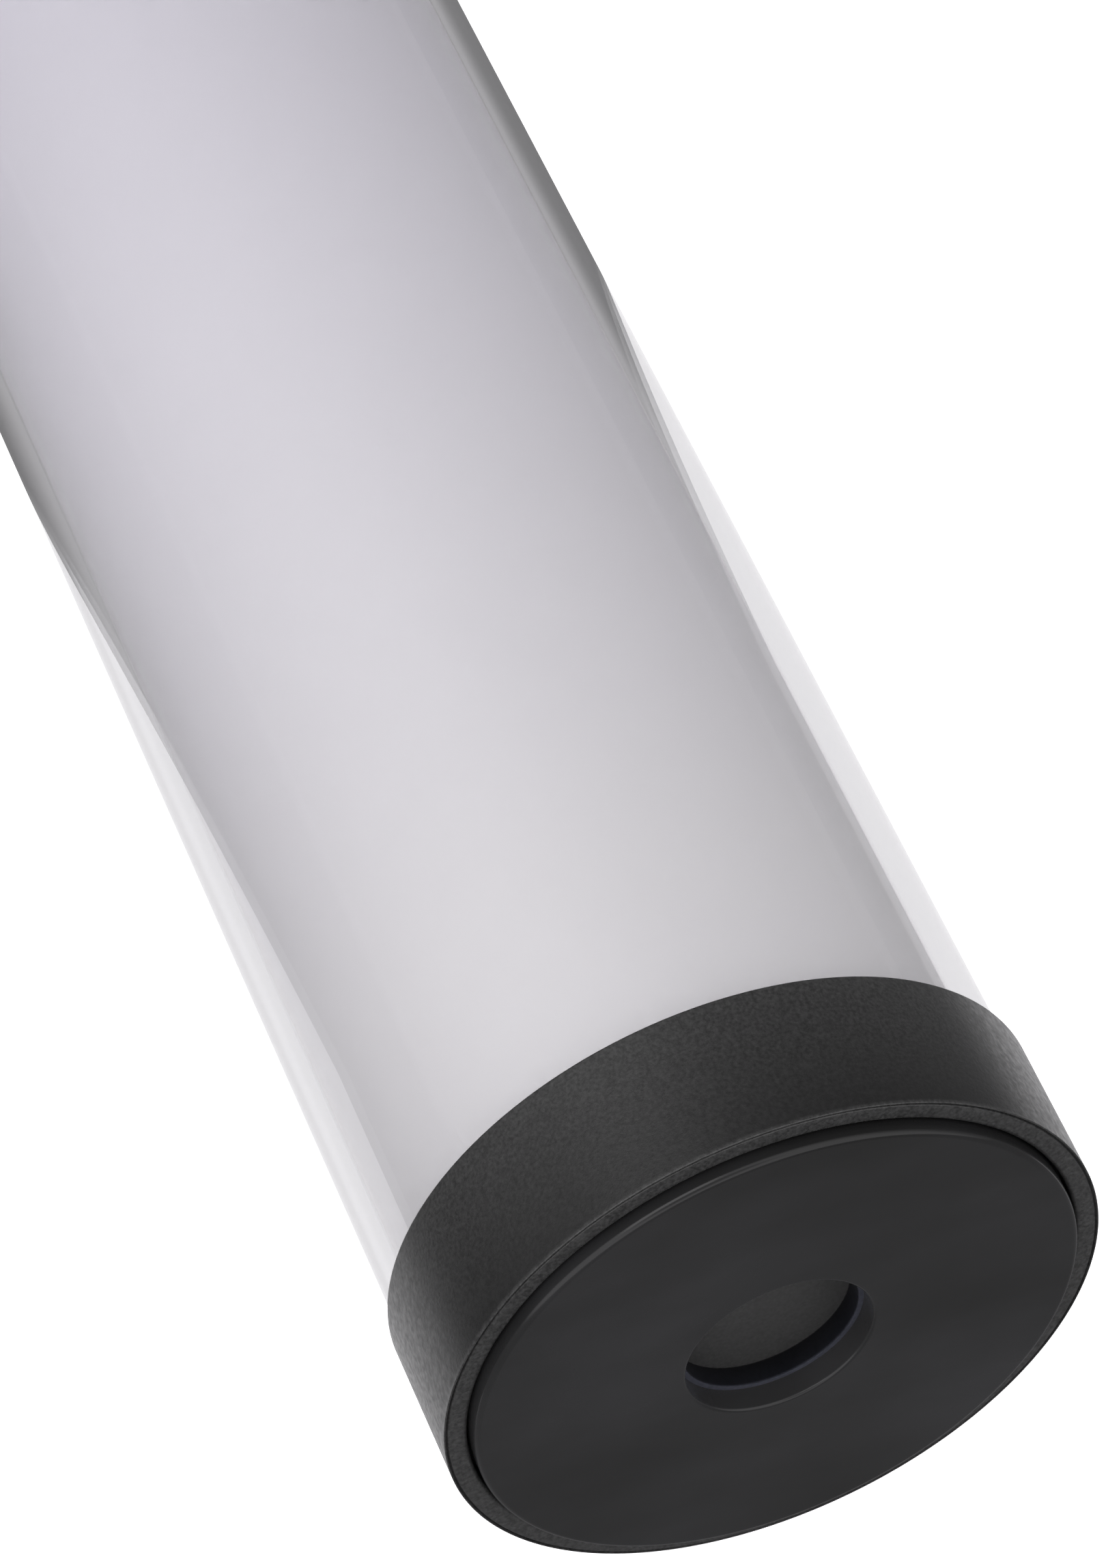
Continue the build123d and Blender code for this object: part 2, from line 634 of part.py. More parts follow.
ENCODER_H = 3.4
with BuildPart() as encoder:
    with BuildSketch(front_view(CONTROL_BOARD_FACE)):
        with Locations((DIAL_X, 0)):
            Rectangle(10.0, 9.0)
    extrude(amount=ENCODER_H)
    with BuildSketch(front_view(CONTROL_BOARD_FACE + ENCODER_H)):
        with Locations((DIAL_X, 0)):
            Circle(BUSH_R)
    extrude(amount=PANEL_FLAT - CLEARANCE - CONTROL_BOARD_FACE - ENCODER_H)
    with BuildSketch(front_view(PANEL_FLAT)):
        with Locations((DIAL_X, 0)):
            Circle(SHAFT_R + FIT / 2)
    extrude(amount=SHAFT_END - PANEL_FLAT - 0.3, mode=Mode.SUBTRACT)
save(encoder, "encoder")

# ---------------------------------------------------------------- main electronics
TRAY_Z = -7.0
TRAY_T = 2.0
TRAY_Y = 1.6              # the tray stops short of the control board
TRAY_W = 32.0
MAIN_Z = -3.2             # underside of the main board
MAIN_TOP = MAIN_Z + 1.6
MAIN_X = -180.0
MAIN_L = 46.0
MAIN_Y = 3.0
MAIN_W = 32.0
TRAY_REAR = CARRIER_FRONT
TRAY_FRONT = RIM_REAR
TRAY_WALL = 2.0
STANDOFF_X = 20.5
STANDOFF_Y = 13.5
STANDOFF_R = 2.0
STANDOFFS = [(MAIN_X + i * STANDOFF_X, MAIN_Y + j * STANDOFF_Y) for i in (-1, 1) for j in (-1, 1)]

with BuildPart() as board_tray:
    with BuildSketch(level(TRAY_Z)):
        with Locations(((TRAY_REAR + TRAY_FRONT) / 2, TRAY_Y)):
            Rectangle(TRAY_FRONT - TRAY_REAR, TRAY_W)
    extrude(amount=TRAY_T)
    for wall_x, wall_direction in ((TRAY_REAR, 1), (TRAY_FRONT, -1)):
        with BuildSketch(across(wall_x)):
            Circle(BOARD_BORE - 2 * CLEARANCE)
            with Locations((0, TRAY_Z + BIG / 2)):
                Rectangle(BIG, BIG, mode=Mode.SUBTRACT)
        extrude(amount=wall_direction * TRAY_WALL)
    with BuildSketch(level(TRAY_Z + TRAY_T)):
        with Locations(*STANDOFFS):
            Circle(STANDOFF_R)
    extrude(amount=MAIN_Z - TRAY_Z - TRAY_T)
    with BuildSketch(level(MAIN_Z)):
        with Locations(*STANDOFFS):
            Circle(PILOT_R)
    extrude(amount=TRAY_Z - MAIN_Z, mode=Mode.SUBTRACT)
save(board_tray, "board_tray")

with BuildPart() as main_board:
    with BuildSketch(level(MAIN_Z)):
        with Locations((MAIN_X, MAIN_Y)):
            RectangleRounded(MAIN_L, MAIN_W, 1.0)
        with Locations(*STANDOFFS):
            Circle(PILOT_R + CLEARANCE, mode=Mode.SUBTRACT)
    extrude(amount=MAIN_TOP - MAIN_Z)
save(main_board, "main_board")

with BuildPart() as main_board_screws:
    with BuildSketch(level(MAIN_TOP)):
        with Locations(*STANDOFFS):
            Circle(SMALL_HEAD_R)
    extrude(amount=SMALL_HEAD_T)
    with BuildSketch(level(MAIN_TOP)):
        with Locations(*STANDOFFS):
            Circle(SMALL_SHANK_R)
    extrude(amount=MAIN_Z - MAIN_TOP - SMALL_BITE)
save(main_board_screws, "main_board_screws")

with BuildPart() as board_inductors:
    with BuildSketch(level(MAIN_TOP)):
        with Locations((-192.0, 1.0), (-192.0, -8.0)):
            RectangleRounded(9.0, 7.6, 1.0)
    extrude(amount=4.5)
    fillet(board_inductors.faces().sort_by(Axis.Z)[-2:].edges(), 0.6)
save(board_inductors, "board_inductors")

with BuildPart() as board_capacitors:
    with BuildSketch(level(MAIN_TOP)):
        with Locations((-181.0, -8.0), (-171.5, -8.0)):
            Circle(4.0)
    extrude(amount=9.0)
    fillet(board_capacitors.faces().sort_by(Axis.Z)[-2:].edges(), 0.5)
save(board_capacitors, "board_capacitors")

with BuildPart() as board_chips:
    with BuildSketch(level(MAIN_TOP)):
        with Locations((-181.0, 3.0)):
            Rectangle(7.0, 7.0)
        with Locations((-171.0, 3.0)):
            Rectangle(5.0, 6.2)
        with Locations((-194.0, 11.0)):
            Rectangle(9.0, 6.0)
    extrude(amount=1.2)
save(board_chips, "board_chips")

CONNECTOR_H = 6.0
BATTERY_PLUG = (-200.0, LEAD_Y)
LED_PLUG = (-161.5, LEAD_Y)
with BuildPart() as board_connectors:
    with BuildSketch(level(MAIN_TOP)):
        with Locations(BATTERY_PLUG, LED_PLUG):
            Rectangle(4.8, 8.0)
    extrude(amount=CONNECTOR_H)
save(board_connectors, "board_connectors")

# Charging socket: drawn metal shell with a tongue, mouth just inside the port flat.
USB_MOUTH = PORT_FLAT - CLEARANCE
USB_DEPTH = 7.2
with BuildPart() as usb_socket:
    with BuildSketch(back_view(USB_MOUTH)):
        with Locations((-PORT_X, 0)):
            SlotOverall(USB_W, USB_H)
    extrude(amount=-USB_DEPTH)
    with BuildSketch(back_view(USB_MOUTH)):
        with Locations((-PORT_X, 0)):
            SlotOverall(USB_W - 0.6, USB_H - 0.6)
    extrude(amount=-USB_DEPTH + 0.8, mode=Mode.SUBTRACT)
    with BuildSketch(back_view(USB_MOUTH - 0.9)):
        with Locations((-PORT_X, 0)):
            Rectangle(6.7, 0.7)
    extrude(amount=-USB_DEPTH + 0.9)
save(usb_socket, "usb_socket")

# Hinged dust cover of the port and its pin.
COVER_BACK = PORT_FLAT + CLEARANCE
COVER_T = 1.4
COVER_BOTTOM = HINGE_Z - COVER_DROP
with BuildPart() as port_cover:
    with BuildSketch(back_view(COVER_BACK)):
        with Locations((-PORT_X, (HINGE_Z + COVER_BOTTOM) / 2)):
            Rectangle(COVER_W, COVER_DROP)
    extrude(amount=COVER_T)
    lower_corners = port_cover.edges().filter_by(Axis.Y).group_by(Axis.Z)[0]
    fillet(lower_corners, 2.0)
    with BuildSketch(hinge_plane):
        Circle(HINGE_R)
    extrude(amount=COVER_W / 2, both=True)
    with BuildSketch(back_view(COVER_BACK + COVER_T)):
        with Locations((-PORT_X, COVER_BOTTOM + 1.6)):
            SlotOverall(7.0, 1.2)
    extrude(amount=0.5)
    with BuildSketch(hinge_plane):
        Circle(PIN_R + PIN_GAP)
    extrude(amount=COVER_W, both=True, mode=Mode.SUBTRACT)
save(port_cover, "port_cover")

with BuildPart() as port_cover_pin:
    with BuildSketch(hinge_plane):
        Circle(PIN_R)
    extrude(amount=COVER_W / 2 + LUG_GAP + LUG_W - FIT, both=True)
save(port_cover_pin, "port_cover_pin")

# ---------------------------------------------------------------- battery
CELL_POINTS = polar(CELL_RING, CELL_ANGLES)
STRUT_POINTS = polar(STRUT_RING, STRUT_ANGLES)
for number, place in enumerate(CELL_POINTS, start=1):
    with BuildPart() as cell:
        with BuildSketch(across(CELLS_REAR)):
            with Locations(place):
                Circle(CELL_R)
        extrude(amount=CELL_LENGTH - CAP_T)
        fillet(cell.edges().filter_by(GeomType.CIRCLE), 0.5)
        with BuildSketch(across(CELLS_FRONT - CAP_T)):
            with Locations(place):
                Circle(CAP_R)
        extrude(amount=CAP_T)
    save(cell, f"battery_cell_{number}")

# Two bulkheads joined by three struts that pass between the cells.
with BuildPart() as battery_carrier:
    for plate_x in (CARRIER_REAR, CARRIER_FRONT - CARRIER_T):
        with BuildSketch(across(plate_x)):
            Circle(CARRIER_R)
            Circle(VENT_R, mode=Mode.SUBTRACT)
        extrude(amount=CARRIER_T)
    with BuildSketch(across(CARRIER_REAR)):
        with Locations(*STRUT_POINTS):
            Circle(STRUT_R)
    extrude(amount=CARRIER_FRONT - CARRIER_REAR)
    with BuildSketch(across(CARRIER_REAR)):
        with Locations(*STRUT_POINTS):
            Circle(PORT_HOLE_R)
    extrude(amount=10.0, mode=Mode.SUBTRACT)
save(battery_carrier, "battery_carrier")


def cell_link(x, first, second):
    """Nickel strip that joins two cells' ends."""
    (y1, z1), (y2, z2) = CELL_POINTS[first], CELL_POINTS[second]
    with BuildPart() as link:
        with BuildSketch(across(x)):
            with BuildLine():
                centre_line = Line((y1, z1), (y2, z2))
            SlotArc(centre_line, LINK_W)
        extrude(amount=LINK_T)
    return link


save(cell_link(CARRIER_REAR + CARRIER_T, 0, 1), "rear_cell_link")
save(cell_link(CELLS_FRONT, 1, 2), "front_cell_link")


# ---------------------------------------------------------------- internal wires
WIRE_R = 0.9
BEND_R = 3.0


def wire_pair(points):
    """Two insulated wires side by side, through points (x, z from axis)."""
    with BuildPart() as pair:
        for y in (LEAD_Y - 2 * WIRE_R, LEAD_Y + 2 * WIRE_R):
            route = [(x, y, AXIS_Z + z) for x, z in points]
            with BuildLine() as path:
                FilletPolyline(*route, radius=BEND_R)
            start = Plane(origin=path.line @ 0, z_dir=path.line % 0)
            with BuildSketch(start):
                Circle(WIRE_R)
            sweep(path=path.line)
    return pair


PLUG_TOP = MAIN_TOP + CONNECTOR_H
BATTERY_WIRE_Z = 14.0
battery_route = [
    (CARRIER_FRONT, BATTERY_WIRE_Z),
    (BATTERY_PLUG[0], BATTERY_WIRE_Z),
    (BATTERY_PLUG[0], PLUG_TOP),
]
LEAD_PAD_X = LIGHT_REAR + 5.0
led_route = [
    (LED_PLUG[0], PLUG_TOP),
    (LED_PLUG[0], LEAD_Z),
    (LEAD_PAD_X, LEAD_Z),
    (LEAD_PAD_X, DECK_Z + BOARD_T),
]
save(wire_pair(battery_route), "battery_leads")
save(wire_pair(led_route), "led_leads")

# ================================================================ rear end
# Plug: flange seated in the handle's mouth, sealed spigot, boss for the thread insert.
REAR_SPIGOT_R = CELL_BORE - FIT
REAR_SPIGOT_WALL = 2.9
BOSS_WALL = 3.5           # round the insert
REAR_GROOVE_X = (FLANGE_FRONT + CARRIER_REAR) / 2
INSERT_R = 5.0
INSERT_FRONT = -288.0
with BuildPart() as rear_plug:
    with BuildSketch(across(REAR_PLUG_FACE)):
        Circle(REAR_BORE - FIT)
    extrude(amount=FLANGE_FRONT - REAR_PLUG_FACE)
    with BuildSketch(across(FLANGE_FRONT)):
        Circle(REAR_SPIGOT_R)
        Circle(REAR_SPIGOT_R - REAR_SPIGOT_WALL, mode=Mode.SUBTRACT)
        with Locations(*STRUT_POINTS):
            Circle(STRUT_R + PORT_WALL)
    extrude(amount=CARRIER_REAR - FLANGE_FRONT)
    with BuildSketch(across(FLANGE_FRONT)):
        Circle(INSERT_R + BOSS_WALL)
    extrude(amount=INSERT_FRONT + 1.0 - FLANGE_FRONT)
    with BuildSketch(across(REAR_GROOVE_X - GROOVE_W / 2)):
        Circle(REAR_SPIGOT_R)
        Circle(REAR_SPIGOT_R - GROOVE_DEPTH, mode=Mode.SUBTRACT)
    extrude(amount=GROOVE_W, mode=Mode.SUBTRACT)
    with BuildSketch(across(REAR_PLUG_FACE)):
        Circle(INSERT_R)
    extrude(amount=INSERT_FRONT - REAR_PLUG_FACE, mode=Mode.SUBTRACT)
    with BuildSketch(across(REAR_PLUG_FACE)):
        with Locations(*STRUT_POINTS):
            Circle(PORT_HOLE_R + FIT)
    extrude(amount=CARRIER_REAR - REAR_PLUG_FACE, mode=Mode.SUBTRACT)
    with BuildSketch(across(REAR_PLUG_FACE)):
        with Locations(*STRUT_POINTS):
            Circle(M3_HEAD_R + HEAD_GAP)
    extrude(amount=M3_HEAD_T + CLEARANCE, mode=Mode.SUBTRACT)
save(rear_plug, "rear_plug")
save(sealing_ring(REAR_GROOVE_X, CELL_BORE), "rear_plug_seal")

REAR_SEAT = REAR_PLUG_FACE + M3_HEAD_T + CLEARANCE
save(cap_screws(REAR_SEAT, CARRIER_REAR - REAR_SEAT + M3_BITE, STRUT_POINTS, -1), "rear_plug_screws")

with BuildPart() as rear_plate:
    with BuildSketch(across(REAR)):
        Circle(PLATE_R)
        Circle(INSERT_R + FIT, mode=Mode.SUBTRACT)
    extrude(amount=PLATE_T)
    fillet(ring_edges(rear_plate, REAR, PLATE_R), PLATE_ROUND)
save(rear_plate, "rear_plate")

# Brass insert with a quarter-inch tripod thread, drawn at its minor diameter.
THREAD_R = 2.56
THREAD_DEPTH = 9.5
INSERT_FACE = REAR + FIT
with BuildPart() as tripod_insert:
    with BuildSketch(across(INSERT_FACE)):
        Circle(INSERT_R)
    extrude(amount=INSERT_FRONT - INSERT_FACE)
    with BuildSketch(across(INSERT_FACE)):
        Circle(THREAD_R)
    extrude(amount=THREAD_DEPTH, mode=Mode.SUBTRACT)
    chamfer(ring_edges(tripod_insert, INSERT_FACE, THREAD_R), 0.5)
save(tripod_insert, "tripod_insert")
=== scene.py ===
import math

import bmesh
import bpy
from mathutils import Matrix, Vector


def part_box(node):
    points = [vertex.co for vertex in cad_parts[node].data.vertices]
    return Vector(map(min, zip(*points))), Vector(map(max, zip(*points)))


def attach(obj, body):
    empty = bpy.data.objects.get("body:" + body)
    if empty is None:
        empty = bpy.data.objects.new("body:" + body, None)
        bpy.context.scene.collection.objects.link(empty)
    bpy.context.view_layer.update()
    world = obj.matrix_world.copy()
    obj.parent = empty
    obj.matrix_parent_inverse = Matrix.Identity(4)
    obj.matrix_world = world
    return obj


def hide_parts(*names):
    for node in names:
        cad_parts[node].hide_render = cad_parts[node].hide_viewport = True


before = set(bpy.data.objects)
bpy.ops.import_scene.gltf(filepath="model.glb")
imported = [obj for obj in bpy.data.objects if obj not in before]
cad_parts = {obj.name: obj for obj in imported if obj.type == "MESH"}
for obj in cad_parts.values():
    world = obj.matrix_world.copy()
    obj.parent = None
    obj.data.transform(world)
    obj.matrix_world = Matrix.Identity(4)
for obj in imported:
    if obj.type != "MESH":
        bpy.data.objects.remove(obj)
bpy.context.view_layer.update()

# Every length is in metres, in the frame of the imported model: +X along the tube
# towards the plain end, +Z up, the tube's axis at the height of the collar's radius.
MM = 0.001
ring_low, ring_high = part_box("end_ring")
plate_low, plate_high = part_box("end_plate")
tube_low, tube_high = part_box("outer_tube")
sleeve_low, sleeve_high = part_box("diffuser_sleeve")
AXIS_Z = (ring_low.z + ring_high.z) / 2
COLLAR_R = (ring_high.z - ring_low.z) / 2
TUBE_R = (tube_high.z - tube_low.z) / 2
PLATE_R = (plate_high.z - plate_low.z) / 2
SLEEVE_R = (sleeve_high.y - sleeve_low.y) / 2
LIP_X = ring_high.x
END_CENTRE = Vector((LIP_X, 0, AXIS_Z))
RECESS_R = 7.4 * MM
POCKET_DEPTH = 1.8 * MM
scene = bpy.context.scene


# ------------------------------------------------------------------ mesh helpers
HOLD = 0.15                        # holding point beyond a round, as a part of its radius
SHARP_ANGLE = math.radians(35)     # an edge that turns by more shows as a hard edge


def rounded_outline(corners, steps=6):
    """Closed outline through (x, r, radius) corners, each corner rounded by its radius.

    A holding point on each straight run, close to the round, keeps the shading flat."""
    points = []
    for i, (x, r, radius) in enumerate(corners):
        here = Vector((x, r))
        back = (Vector(corners[i - 1][:2]) - here).normalized()
        ahead = (Vector(corners[(i + 1) % len(corners)][:2]) - here).normalized()
        if radius == 0:
            points.append(here)
            continue
        half = back.angle(ahead) / 2
        reach = radius / math.tan(half)
        centre = here + (back + ahead).normalized() * radius / math.sin(half)
        start, end = here + back * reach, here + ahead * reach
        points.append(start + back * radius * HOLD)
        for step in range(steps + 1):
            ray = (start - centre).lerp(end - centre, step / steps).normalized()
            points.append(centre + ray * radius)
        points.append(end + ahead * radius * HOLD)
    return points


def finish_mesh(name, bm):
    """Turn a bmesh into a smooth-shaded object with its hard edges marked."""
    bmesh.ops.recalc_face_normals(bm, faces=bm.faces)
    for face in bm.faces:
        face.smooth = True
    for edge in bm.edges:
        if len(edge.link_faces) == 2 and edge.calc_face_angle() > SHARP_ANGLE:
            edge.smooth = False
    mesh = bpy.data.meshes.new(name)
    bm.to_mesh(mesh)
    bm.free()
    piece = bpy.data.objects.new(name, mesh)
    scene.collection.objects.link(piece)
    return piece


def lathe(name, outline, segments=256, start=0.0, sweep=math.tau):
    """Turn a closed outline of (x, r) points about the tube's axis, all round or over an arc."""
    bm = bmesh.new()
    whole = abs(sweep - math.tau) < 1e-6
    stations = segments if whole else segments + 1
    rings = []
    for step in range(stations):
        angle = start + sweep * step / segments
        out_y, out_z = math.cos(angle), math.sin(angle)
        rings.append([bm.verts.new((p.x, p.y * out_y, AXIS_Z + p.y * out_z)) for p in outline])
    count = len(outline)
    for step in range(segments):
        here, there = rings[step], rings[(step + 1) % stations]
        for i in range(count):
            j = (i + 1) % count
            bm.faces.new((here[i], here[j], there[j], there[i]))
    if not whole:
        bm.faces.new(rings[0])
        bm.faces.new(rings[-1])
    return finish_mesh(name, bm)


# ------------------------------------------------------------------ material helpers
class Surface:
    """A node material: one Principled shader and short calls for its textures."""

    def __init__(self, name, **sockets):
        self.material = bpy.data.materials.new(name)
        self.material.use_nodes = True
        self.tree = self.material.node_tree
        self.shader = self.tree.nodes["Principled BSDF"]
        self.coordinates = self.tree.nodes.new("ShaderNodeTexCoord")
        for socket, value in sockets.items():
            self.shader.inputs[socket.replace("_", " ")].default_value = value

    def place(self, stretch=(1, 1, 1)):
        """Object coordinates in metres, scaled along each axis."""
        mapping = self.tree.nodes.new("ShaderNodeMapping")
        mapping.inputs["Scale"].default_value = stretch
        self.tree.links.new(self.coordinates.outputs["Object"], mapping.inputs["Vector"])
        return mapping.outputs["Vector"]

    def noise(self, scale, detail=2.0, roughness=0.5, stretch=(1, 1, 1)):
        """Fractal noise, with scale in features to the metre."""
        node = self.tree.nodes.new("ShaderNodeTexNoise")
        node.inputs["Scale"].default_value = scale
        node.inputs["Detail"].default_value = detail
        node.inputs["Roughness"].default_value = roughness
        self.tree.links.new(self.place(stretch), node.inputs["Vector"])
        return node.outputs["Fac"]

    def position(self, axis):
        """One object coordinate, in metres: X runs along the tube and Y across it."""
        node = self.tree.nodes.new("ShaderNodeSeparateXYZ")
        self.tree.links.new(self.coordinates.outputs["Object"], node.inputs["Vector"])
        return node.outputs[axis]

    def from_axis(self):
        """Distance from the tube's axis, in metres."""
        node = self.tree.nodes.new("ShaderNodeVectorMath")
        node.operation = "DISTANCE"
        node.inputs[1].default_value = (0, 0, AXIS_Z)
        self.tree.links.new(self.place((0, 1, 1)), node.inputs[0])
        return node.outputs["Value"]

    def times(self, colour, factor):
        """A colour made darker or lighter by a factor."""
        node = self.tree.nodes.new("ShaderNodeVectorMath")
        node.operation = "SCALE"
        self.tree.links.new(colour, node.inputs[0])
        self.tree.links.new(factor, node.inputs["Scale"])
        return node.outputs["Vector"]

    def between(self, factor, low, high, start=0.3, stop=0.7):
        """A number that runs from low to high as factor goes from start to stop."""
        node = self.tree.nodes.new("ShaderNodeMapRange")
        node.inputs["From Min"].default_value = start
        node.inputs["From Max"].default_value = stop
        node.inputs["To Min"].default_value = low
        node.inputs["To Max"].default_value = high
        self.tree.links.new(factor, node.inputs["Value"])
        return node.outputs["Result"]

    def ramp(self, factor, *stops):
        """A colour ramp through (position, (r, g, b)) stops."""
        node = self.tree.nodes.new("ShaderNodeValToRGB")
        elements = node.color_ramp.elements
        while len(elements) < len(stops):
            elements.new(1.0)
        for element, (position, colour) in zip(elements, stops):
            element.position = position
            element.color = (*colour, 1.0)
        self.tree.links.new(factor, node.inputs["Fac"])
        return node.outputs["Color"]

    def feed(self, socket, output):
        """Link a texture to one of the shader's sockets."""
        self.tree.links.new(output, self.shader.inputs[socket])

    def bump(self, height, strength, distance):
        """Raise the surface by a texture, over a distance in metres."""
        node = self.tree.nodes.new("ShaderNodeBump")
        node.inputs["Strength"].default_value = strength
        node.inputs["Distance"].default_value = distance
        self.tree.links.new(height, node.inputs["Height"])
        self.tree.links.new(node.outputs["Normal"], self.shader.inputs["Normal"])


def grey(value, blue=0.0):
    """A neutral colour, or a slightly cold one."""
    return (value, value, value + blue)


# ------------------------------------------------------------------ materials
GRAIN = 0.03 * MM      # height of a moulded or eroded grain
POLISH = 0.02 * MM     # height of what is left on a polished or drawn skin


def satin_black():
    """Fine spark-eroded black, mottled, with painted shade that deepens it towards the lip and
    painted light that makes the lip face paler.
    """
    s = Surface("satin_black", Specular_IOR_Level=0.4)
    grain = s.noise(3300, detail=2, roughness=0.6)
    # Painted shade: darker towards the lip, with painted light that makes the lip face paler.
    painted_shading_along = s.between(s.position("X"), 0.0, 1.0, ring_low.x, LIP_X)
    tone = s.ramp(painted_shading_along, (0.0, grey(0.015)), (0.97, grey(0.002)), (1.0, grey(0.021)))
    s.feed("Base Color", s.times(tone, s.between(grain, 0.5, 1.8, 0.32, 0.72)))
    s.feed("Roughness", s.between(s.noise(1900, detail=2), 0.3, 0.44))
    s.bump(grain, 0.4, GRAIN)
    return s.material


def gloss_black():
    """Polished black disc with a faint orange peel, a few wiped smears and painted light that makes
    the hole wall paler.
    """
    s = Surface("gloss_black", Specular_IOR_Level=0.2)
    smears = s.ramp(
        s.noise(70, detail=4, stretch=(1, 0.5, 1)),
        (0.3, grey(0.0095)),
        (0.5, grey(0.0135, 0.0004)),
        (0.72, grey(0.019, 0.001)),
    )
    # Painted light: the hole wall's colour is raised to stand in for light falling on it.
    wall = s.between(s.from_axis(), 1.7, 1.0, RECESS_R + 0.02 * MM, RECESS_R + 0.1 * MM)
    s.feed("Base Color", s.times(smears, wall))
    s.feed("Roughness", s.between(s.noise(45, detail=5, roughness=0.7), 0.12, 0.24))
    s.bump(s.noise(420, detail=2), 0.05, POLISH)
    return s.material


def moulded_black():
    """Plain moulded black with a light matt grain."""
    s = Surface("moulded_black", Specular_IOR_Level=0.4)
    grain = s.noise(3400, detail=2)
    s.feed("Base Color", s.ramp(grain, (0.3, grey(0.013)), (0.7, grey(0.019))))
    s.feed("Roughness", s.between(s.noise(900), 0.45, 0.57))
    s.bump(grain, 0.2, GRAIN)
    return s.material


def plug_black():
    """Moulded plug with painted light and shade: matt pocket floor painted paler against its shade,
    pocket wall painted deep black as shade, and a painted cold highlight on the ledge.
    """
    s = Surface("plug_black", Specular_IOR_Level=0.2)
    # Painted light and shade along the pocket: floor paler against its shade, wall near black, ledge
    # a cold highlight.
    painted_shading_along = s.between(s.position("X"), 0.0, 1.0, plate_low.x - POCKET_DEPTH, plate_low.x)
    tone = s.ramp(
        painted_shading_along,
        (0.01, grey(0.032)),
        (0.04, grey(0.004, 0.001)),
        (0.9, (0.006, 0.0065, 0.009)),
        (1.0, (0.04, 0.042, 0.054)),
    )
    s.feed("Base Color", s.times(tone, s.between(s.noise(3400), 0.85, 1.15)))
    s.feed("Roughness", s.between(s.noise(900), 0.3, 0.42))
    s.bump(s.noise(1800), 0.15, GRAIN)
    return s.material


def clear_polycarbonate():
    """Clear drawn pipe: very faint haze and draw lines along its length."""
    s = Surface("clear_polycarbonate", Transmission_Weight=1.0, IOR=1.58)
    s.shader.inputs["Base Color"].default_value = (0.985, 0.98, 0.995, 1)
    s.feed("Roughness", s.between(s.noise(180, detail=3, stretch=(0.05, 1, 1)), 0.0, 0.018))
    s.bump(s.noise(260, detail=1, stretch=(0.02, 1, 1)), 0.02, POLISH)
    return s.material


LILAC_X, NEUTRAL_X = 0.15, 0.27     # where along the tube the sheet's painted shade changes: darker and lilac at the first, none at the second


def opal_sheet():
    """Milky diffuser film with a soft satin skin and slight clouding, and painted shade that makes it
    darker and lilac away from the cap.
    """
    s = Surface("opal_sheet", Specular_IOR_Level=0.35)
    clouds = s.between(s.noise(22, detail=3, stretch=(0.4, 1, 1)), 0.98, 1.02)
    # Painted shade: darker and lilac away from the cap, neutral near it.
    painted_shading_along = s.between(s.position("X"), 0.0, 1.0, LILAC_X, NEUTRAL_X)
    tint = s.ramp(
        painted_shading_along,
        (0.0, (0.745, 0.73, 0.795)),
        (0.5, (0.8, 0.79, 0.83)),
        (1.0, (0.82, 0.815, 0.82)),
    )
    s.feed("Base Color", s.times(tint, clouds))
    s.feed("Roughness", s.between(s.noise(800), 0.42, 0.52))
    s.bump(s.noise(2400), 0.04, POLISH)
    return s.material


def drawn_metal(name, colour, rough, stretch=(0.02, 1, 1)):
    """Metal with fine lines in one direction."""
    s = Surface(name, Metallic=1.0)
    lines = s.noise(2600, detail=4, roughness=0.7, stretch=stretch)
    s.feed("Base Color", s.ramp(lines, (0.3, tuple(c * 0.82 for c in colour)), (0.7, colour)))
    s.feed("Roughness", s.between(lines, rough, rough + 0.16))
    s.bump(lines, 0.12, POLISH)
    return s.material


def plain_plastic(name, dark, light, rough, specular=0.5):
    """Plastic, rubber or enamel with two close tones and a fine grain."""
    s = Surface(name, Specular_IOR_Level=specular)
    grain = s.noise(1500, detail=3)
    s.feed("Base Color", s.ramp(grain, (0.3, dark), (0.7, light)))
    s.feed("Roughness", s.between(s.noise(600), rough, rough + 0.1))
    s.bump(grain, 0.1, GRAIN)
    return s.material


def smoked_glass():
    """Dark display window."""
    s = Surface("smoked_glass", IOR=1.5, Coat_Weight=1.0, Coat_Roughness=0.03)
    tint = s.noise(90)
    s.feed("Base Color", s.ramp(tint, (0.3, (0.004, 0.005, 0.008)), (0.7, (0.008, 0.009, 0.013))))
    s.feed("Roughness", s.between(s.noise(140, detail=4), 0.05, 0.12))
    return s.material


def circuit_board():
    """Green solder mask with faint copper runs under it."""
    s = Surface("circuit_board", Specular_IOR_Level=0.5)
    mask, copper = (0.006, 0.09, 0.04), (0.02, 0.2, 0.09)
    runs = s.noise(700, detail=0, stretch=(0.2, 1, 1))
    s.feed("Base Color", s.ramp(runs, (0.46, mask), (0.5, copper), (0.54, mask)))
    s.feed("Roughness", s.between(s.noise(500), 0.28, 0.4))
    s.bump(runs, 0.1, GRAIN)
    return s.material


SATIN = satin_black()
GLOSS = gloss_black()
MOULDED = moulded_black()
CLEAR = clear_polycarbonate()
OPAL = opal_sheet()
STEEL = drawn_metal("screw_steel", (0.5, 0.5, 0.51), 0.3, (1, 1, 1))
RUBBER = plain_plastic("seal_rubber", grey(0.012), grey(0.022), 0.6, specular=0.3)

